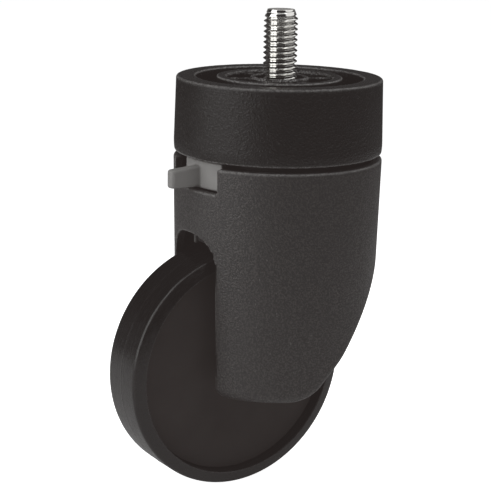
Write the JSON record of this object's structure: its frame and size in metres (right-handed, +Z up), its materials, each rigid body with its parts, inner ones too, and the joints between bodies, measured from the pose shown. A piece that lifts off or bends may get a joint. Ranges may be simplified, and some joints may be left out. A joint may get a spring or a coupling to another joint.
{
  "type": "braked swivel caster",
  "caption": "Cowled swivel caster with a threaded stem, round collar, hooded fork, side-recessed wheel and a sliding brake lever.",
  "frame": {"origin": "centre of the mounting collar's top face, on the swivel axis, where the collar meets the furniture", "axes": "+Z up along the threaded stem and the swivel axis; the wheel trails towards -X; +Y along the wheel's axle"},
  "size_m": [0.0817, 0.0604, 0.1372],
  "materials": {
    "collar_plastic": "fine spark-eroded texture, charcoal black",
    "cowl_plastic": "fine spark-eroded texture, warm charcoal",
    "lever_plastic": "mid grey, smooth matt",
    "core_plastic": "plain moulded",
    "disc_plastic": "flat smooth matt",
    "bush_plastic": "natural acetal",
    "tyre_rubber": "satin black hard rubber",
    "pad_rubber": "matt",
    "zinc_steel": "bright zinc plating",
    "bearing_steel": "ground and polished"
  },
  "bodies": {
    "collar": {"mounting_collar": "collar_plastic", "threaded_stem": "zinc_steel", "upper_race": "bearing_steel", "kingpin_washer": "zinc_steel", "kingpin_circlip": "bearing_steel"},
    "ball_ring": {"ball_cage": "bush_plastic", "bearing_ball_01": "bearing_steel", "bearing_ball_02": "bearing_steel", "bearing_ball_03": "bearing_steel", "bearing_ball_04": "bearing_steel", "bearing_ball_05": "bearing_steel", "bearing_ball_06": "bearing_steel", "bearing_ball_07": "bearing_steel", "bearing_ball_08": "bearing_steel", "bearing_ball_09": "bearing_steel", "bearing_ball_10": "bearing_steel", "bearing_ball_11": "bearing_steel", "bearing_ball_12": "bearing_steel"},
    "housing": {"housing_cowl": "cowl_plastic", "lower_race": "bearing_steel", "kingpin_bush_upper": "bush_plastic", "kingpin_bush_lower": "bush_plastic", "axle": "zinc_steel", "axle_plug": "cowl_plastic", "axle_spacer_near": "bush_plastic", "axle_spacer_far": "bush_plastic", "brake_spring": "bearing_steel"},
    "brake_lever": {"brake_lever": "lever_plastic"},
    "brake_shoe": {"brake_plunger": "zinc_steel", "brake_shoe": "lever_plastic", "brake_pad": "pad_rubber"},
    "wheel": {"tyre": "tyre_rubber", "wheel_core": "core_plastic", "wheel_bush": "bush_plastic", "cover_disc_near": "disc_plastic", "cover_disc_far": "disc_plastic"}
  },
  "joints": [
    {"name": "swivel", "type": "hinge", "parent": "collar", "child": "housing", "pos_m": [0, 0, -0.0186], "axis": [0, 0, 1], "continuous": true},
    {"name": "ball_ring_turn", "type": "hinge", "parent": "collar", "child": "ball_ring", "pos_m": [0, 0, -0.0186], "axis": [0, 0, 1], "continuous": true},
    {"name": "wheel_spin", "type": "hinge", "parent": "housing", "child": "wheel", "pos_m": [-0.0163, 0, -0.08305], "axis": [0, 1, 0], "continuous": true},
    {"name": "lever_shift", "type": "hinge", "parent": "housing", "child": "brake_lever", "pos_m": [0, 0, -0.0265], "axis": [0, 0, -1], "range_deg": [0, 10.5]},
    {"name": "brake_stroke", "type": "slide", "parent": "housing", "child": "brake_shoe", "axis": [0, 0, -1], "range_m": [0, 0.002], "deforming": ["brake_spring"]}
  ],
  "couplings": [
    {"joint": "ball_ring_turn", "follows": "swivel", "ratio": 0.5},
    {"joint": "brake_stroke", "follows": "lever_shift", "m_per_rad": 0.010913}
  ]
}
